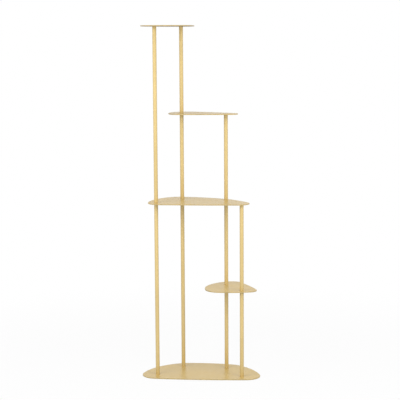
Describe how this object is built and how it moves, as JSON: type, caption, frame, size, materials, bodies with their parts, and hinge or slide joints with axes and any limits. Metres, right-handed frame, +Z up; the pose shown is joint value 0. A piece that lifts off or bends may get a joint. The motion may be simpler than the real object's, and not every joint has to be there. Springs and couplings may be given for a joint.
{
  "type": "plant stand",
  "caption": "Tall free-standing plant stand with flat pebble-shaped metal shelves at stepped heights, clamped between slim round posts above a wide base plate.",
  "frame": {"origin": "middle of the stand's plan box, on the floor", "axes": "+Z up, +X to the right seen from the front, +Y away from the front"},
  "size_m": [0.48, 0.3092, 1.423],
  "materials": {
    "gold_plate": "satin pale gold coating",
    "gold_tube": "satin pale gold coating",
    "gold_screw": "satin pale gold coating",
    "zinc_screw": "zinc plated",
    "plain_steel": "plain machined",
    "black_rubber": "matt"
  },
  "bodies": {
    "root": {"base_plate": "gold_plate", "left_back_base_screw": "zinc_screw", "left_back_floor_pad": "black_rubber", "left_back_lower_tube": "gold_tube", "left_back_lower_tube_bottom_insert": "plain_steel", "left_back_lower_tube_top_insert": "plain_steel", "left_back_middle_shelf_stud": "plain_steel", "left_back_middle_tube": "gold_tube", "left_back_middle_tube_bottom_insert": "plain_steel", "left_back_middle_tube_top_insert": "plain_steel", "left_back_top_screw": "gold_screw", "left_back_upper_shelf_stud": "plain_steel", "left_back_upper_tube": "gold_tube", "left_back_upper_tube_bottom_insert": "plain_steel", "left_back_upper_tube_top_insert": "plain_steel", "left_front_base_screw": "zinc_screw", "left_front_floor_pad": "black_rubber", "left_front_lower_tube": "gold_tube", "left_front_lower_tube_bottom_insert": "plain_steel", "left_front_lower_tube_top_insert": "plain_steel", "left_front_middle_shelf_stud": "plain_steel", "left_front_top_screw": "gold_screw", "left_front_upper_tube": "gold_tube", "left_front_upper_tube_bottom_insert": "plain_steel", "left_front_upper_tube_top_insert": "plain_steel", "lower_shelf": "gold_plate", "middle_shelf": "gold_plate", "right_back_base_screw": "zinc_screw", "right_back_floor_pad": "black_rubber", "right_back_lower_shelf_stud": "plain_steel", "right_back_lower_tube": "gold_tube", "right_back_lower_tube_bottom_insert": "plain_steel", "right_back_lower_tube_top_insert": "plain_steel", "right_back_middle_shelf_stud": "plain_steel", "right_back_middle_tube": "gold_tube", "right_back_middle_tube_bottom_insert": "plain_steel", "right_back_middle_tube_top_insert": "plain_steel", "right_back_top_screw": "gold_screw", "right_back_upper_tube": "gold_tube", "right_back_upper_tube_bottom_insert": "plain_steel", "right_back_upper_tube_top_insert": "plain_steel", "right_front_base_screw": "zinc_screw", "right_front_floor_pad": "black_rubber", "right_front_lower_shelf_stud": "plain_steel", "right_front_lower_tube": "gold_tube", "right_front_lower_tube_bottom_insert": "plain_steel", "right_front_lower_tube_top_insert": "plain_steel", "right_front_top_screw": "gold_screw", "right_front_upper_tube": "gold_tube", "right_front_upper_tube_bottom_insert": "plain_steel", "right_front_upper_tube_top_insert": "plain_steel", "top_shelf": "gold_plate", "upper_shelf": "gold_plate"}
  },
  "joints": []
}
